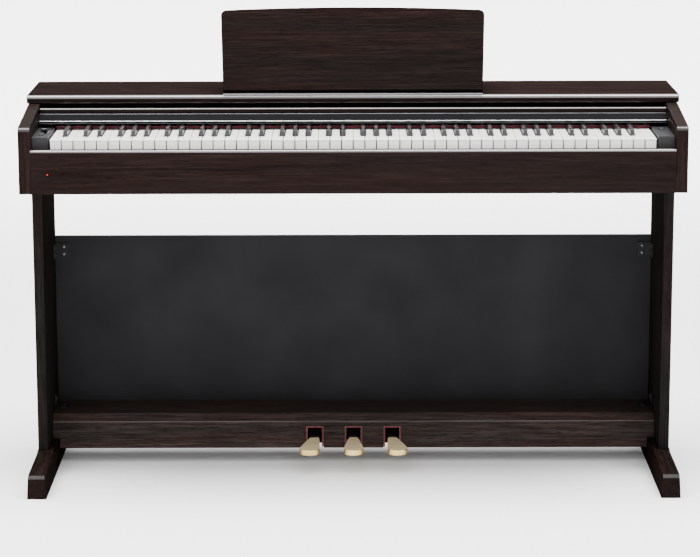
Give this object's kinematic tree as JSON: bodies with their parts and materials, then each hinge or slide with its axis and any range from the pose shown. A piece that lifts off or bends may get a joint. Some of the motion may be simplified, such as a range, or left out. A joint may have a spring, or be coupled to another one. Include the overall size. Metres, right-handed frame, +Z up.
{
  "type": "digital piano",
  "caption": "Slim console digital piano: full keyboard with a sliding cover, folding music rest, side-board stand, back panel and a pedal box with sprung pedals.",
  "frame": {"origin": "on the floor, at the middle of the width and of the depth", "axes": "+X along the keyboard to the treble end, +Y from the player to the back, +Z up"},
  "size_m": [1.357, 0.422, 0.9851],
  "materials": {
    "rosewood": "dark rosewood-grain foil, satin",
    "charcoal_panel": "charcoal foil, matte",
    "chipboard": "dark hardboard",
    "black_plastic": "satin",
    "grey_plastic": "fine texture",
    "white_key": "gloss",
    "black_key": "matte",
    "red_felt": "felt",
    "brass": "polished",
    "dark_steel": "black paint",
    "circuit_board": "matte",
    "red_lamp": "clear"
  },
  "bodies": {
    "cabinet": {"top_board": "rosewood", "cheek_left": "rosewood", "cheek_right": "rosewood", "key_slip": "rosewood", "side_board_left": "rosewood", "side_board_right": "rosewood", "foot_left": "rosewood", "foot_right": "rosewood", "pedal_box": "rosewood", "back_panel": "charcoal_panel", "keybed": "chipboard", "rear_board": "chipboard", "key_chassis": "black_plastic", "speaker_left": "black_plastic", "speaker_right": "black_plastic", "speaker_grille_left": "black_plastic", "speaker_grille_right": "black_plastic", "headphone_box": "black_plastic", "pedal_adjuster": "black_plastic", "inner_panel": "grey_plastic", "end_block_left": "grey_plastic", "end_block_right": "grey_plastic", "key_felt": "red_felt", "pedal_felt": "red_felt", "bracket_upper_left": "dark_steel", "bracket_upper_right": "dark_steel", "bracket_lower_left": "dark_steel", "bracket_lower_right": "dark_steel", "rest_hinge_rail": "dark_steel", "main_circuit_board": "circuit_board", "power_lamp": "red_lamp"},
    "key_cover": {"key_cover": "rosewood", "cover_rail": "rosewood"},
    "music_rest": {"music_rest": "rosewood", "rest_ledge": "grey_plastic"},
    "stay_left": {"stay_left": "dark_steel"},
    "stay_right": {"stay_right": "dark_steel"},
    "pedal_soft": {"pedal_soft": "brass"},
    "pedal_sostenuto": {"pedal_sostenuto": "brass"},
    "pedal_damper": {"pedal_damper": "brass"},
    "power_button": {"power_button": "black_plastic"},
    "volume_slider": {"volume_slider": "black_plastic"},
    "function_button_1": {"function_button_1": "black_plastic"},
    "function_button_2": {"function_button_2": "black_plastic"},
    "white_keys_bass": {"white_keys_bass": "white_key"},
    "key_c4": {"key_c4": "white_key"},
    "key_d4": {"key_d4": "white_key"},
    "key_e4": {"key_e4": "white_key"},
    "key_f4": {"key_f4": "white_key"},
    "key_g4": {"key_g4": "white_key"},
    "key_a4": {"key_a4": "white_key"},
    "key_b4": {"key_b4": "white_key"},
    "white_keys_treble": {"white_keys_treble": "white_key"},
    "black_keys_bass": {"black_keys_bass": "black_key"},
    "key_c_sharp4": {"key_c_sharp4": "black_key"},
    "key_d_sharp4": {"key_d_sharp4": "black_key"},
    "key_f_sharp4": {"key_f_sharp4": "black_key"},
    "key_g_sharp4": {"key_g_sharp4": "black_key"},
    "key_a_sharp4": {"key_a_sharp4": "black_key"},
    "black_keys_treble": {"black_keys_treble": "black_key"}
  },
  "joints": [
    {"name": "key_cover_slide", "type": "slide", "parent": "cabinet", "child": "key_cover", "axis": [0, -0.9984, -0.0558], "range_m": [0, 0.18]},
    {"name": "music_rest_fold", "type": "hinge", "parent": "cabinet", "child": "music_rest", "pos_m": [0, -0.0035, 0.824], "axis": [-1, 0, 0], "range_deg": [0, 55]},
    {"name": "stay_left_fold", "type": "hinge", "parent": "music_rest", "child": "stay_left", "pos_m": [-0.17, 0.0514, 0.89543], "axis": [1, 0, 0], "range_deg": [0, 111.96]},
    {"name": "stay_right_fold", "type": "hinge", "parent": "music_rest", "child": "stay_right", "pos_m": [0.17, 0.0514, 0.89543], "axis": [1, 0, 0], "range_deg": [0, 111.96]},
    {"name": "pedal_soft_press", "type": "hinge", "parent": "cabinet", "child": "pedal_soft", "pos_m": [-0.084, 0.165, 0.056], "axis": [1, 0, 0], "range_deg": [0, 6], "stiffness_Nm_per_rad": 20, "springref_deg": -5.73},
    {"name": "pedal_sostenuto_press", "type": "hinge", "parent": "cabinet", "child": "pedal_sostenuto", "pos_m": [0, 0.165, 0.056], "axis": [1, 0, 0], "range_deg": [0, 6], "stiffness_Nm_per_rad": 20, "springref_deg": -5.73},
    {"name": "pedal_damper_press", "type": "hinge", "parent": "cabinet", "child": "pedal_damper", "pos_m": [0.084, 0.165, 0.056], "axis": [1, 0, 0], "range_deg": [0, 6], "stiffness_Nm_per_rad": 20, "springref_deg": -5.73},
    {"name": "white_keys_bass_press", "type": "hinge", "parent": "cabinet", "child": "white_keys_bass", "pos_m": [-0.34242, 0.173, 0.738], "axis": [1, 0, 0], "range_deg": [0, 1.6], "stiffness_Nm_per_rad": 115, "springref_deg": -8.02},
    {"name": "key_c4_press", "type": "hinge", "parent": "cabinet", "child": "key_c4", "pos_m": [-0.05904, 0.173, 0.738], "axis": [1, 0, 0], "range_deg": [0, 1.6], "stiffness_Nm_per_rad": 5, "springref_deg": -8.02},
    {"name": "key_d4_press", "type": "hinge", "parent": "cabinet", "child": "key_d4", "pos_m": [-0.03542, 0.173, 0.738], "axis": [1, 0, 0], "range_deg": [0, 1.6], "stiffness_Nm_per_rad": 5, "springref_deg": -8.02},
    {"name": "key_e4_press", "type": "hinge", "parent": "cabinet", "child": "key_e4", "pos_m": [-0.01181, 0.173, 0.738], "axis": [1, 0, 0], "range_deg": [0, 1.6], "stiffness_Nm_per_rad": 5, "springref_deg": -8.02},
    {"name": "key_f4_press", "type": "hinge", "parent": "cabinet", "child": "key_f4", "pos_m": [0.01181, 0.173, 0.738], "axis": [1, 0, 0], "range_deg": [0, 1.6], "stiffness_Nm_per_rad": 5, "springref_deg": -8.02},
    {"name": "key_g4_press", "type": "hinge", "parent": "cabinet", "child": "key_g4", "pos_m": [0.03542, 0.173, 0.738], "axis": [1, 0, 0], "range_deg": [0, 1.6], "stiffness_Nm_per_rad": 5, "springref_deg": -8.02},
    {"name": "key_a4_press", "type": "hinge", "parent": "cabinet", "child": "key_a4", "pos_m": [0.05904, 0.173, 0.738], "axis": [1, 0, 0], "range_deg": [0, 1.6], "stiffness_Nm_per_rad": 5, "springref_deg": -8.02},
    {"name": "key_b4_press", "type": "hinge", "parent": "cabinet", "child": "key_b4", "pos_m": [0.08265, 0.173, 0.738], "axis": [1, 0, 0], "range_deg": [0, 1.6], "stiffness_Nm_per_rad": 5, "springref_deg": -8.02},
    {"name": "white_keys_treble_press", "type": "hinge", "parent": "cabinet", "child": "white_keys_treble", "pos_m": [0.35423, 0.173, 0.738], "axis": [1, 0, 0], "range_deg": [0, 1.6], "stiffness_Nm_per_rad": 110, "springref_deg": -8.02},
    {"name": "black_keys_bass_press", "type": "hinge", "parent": "cabinet", "child": "black_keys_bass", "pos_m": [-0.34242, 0.173, 0.738], "axis": [1, 0, 0], "range_deg": [0, 1.6], "stiffness_Nm_per_rad": 44, "springref_deg": -8.02},
    {"name": "key_c_sharp4_press", "type": "hinge", "parent": "cabinet", "child": "key_c_sharp4", "pos_m": [-0.04953, 0.173, 0.738], "axis": [1, 0, 0], "range_deg": [0, 1.6], "stiffness_Nm_per_rad": 2, "springref_deg": -8.02},
    {"name": "key_d_sharp4_press", "type": "hinge", "parent": "cabinet", "child": "key_d_sharp4", "pos_m": [-0.02132, 0.173, 0.738], "axis": [1, 0, 0], "range_deg": [0, 1.6], "stiffness_Nm_per_rad": 2, "springref_deg": -8.02},
    {"name": "key_f_sharp4_press", "type": "hinge", "parent": "cabinet", "child": "key_f_sharp4", "pos_m": [0.02062, 0.173, 0.738], "axis": [1, 0, 0], "range_deg": [0, 1.6], "stiffness_Nm_per_rad": 2, "springref_deg": -8.02},
    {"name": "key_g_sharp4_press", "type": "hinge", "parent": "cabinet", "child": "key_g_sharp4", "pos_m": [0.04723, 0.173, 0.738], "axis": [1, 0, 0], "range_deg": [0, 1.6], "stiffness_Nm_per_rad": 2, "springref_deg": -8.02},
    {"name": "key_a_sharp4_press", "type": "hinge", "parent": "cabinet", "child": "key_a_sharp4", "pos_m": [0.07385, 0.173, 0.738], "axis": [1, 0, 0], "range_deg": [0, 1.6], "stiffness_Nm_per_rad": 2, "springref_deg": -8.02},
    {"name": "black_keys_treble_press", "type": "hinge", "parent": "cabinet", "child": "black_keys_treble", "pos_m": [0.35423, 0.173, 0.738], "axis": [1, 0, 0], "range_deg": [0, 1.6], "stiffness_Nm_per_rad": 42, "springref_deg": -8.02},
    {"name": "power_button_press", "type": "slide", "parent": "cabinet", "child": "power_button", "axis": [0, 0, -1], "range_m": [0, 0.0015], "stiffness_N_per_m": 300, "springref_m": -0.002},
    {"name": "function_button_1_press", "type": "slide", "parent": "cabinet", "child": "function_button_1", "axis": [0, 0, -1], "range_m": [0, 0.0015], "stiffness_N_per_m": 300, "springref_m": -0.002},
    {"name": "function_button_2_press", "type": "slide", "parent": "cabinet", "child": "function_button_2", "axis": [0, 0, -1], "range_m": [0, 0.0015], "stiffness_N_per_m": 300, "springref_m": -0.002},
    {"name": "volume_slide", "type": "slide", "parent": "cabinet", "child": "volume_slider", "axis": [0, 1, 0], "range_m": [-0.015, 0.015]}
  ],
  "couplings": [
    {"joint": "stay_left_fold", "follows": "music_rest_fold", "ratio": 2.0353},
    {"joint": "stay_right_fold", "follows": "music_rest_fold", "ratio": 2.0353}
  ]
}
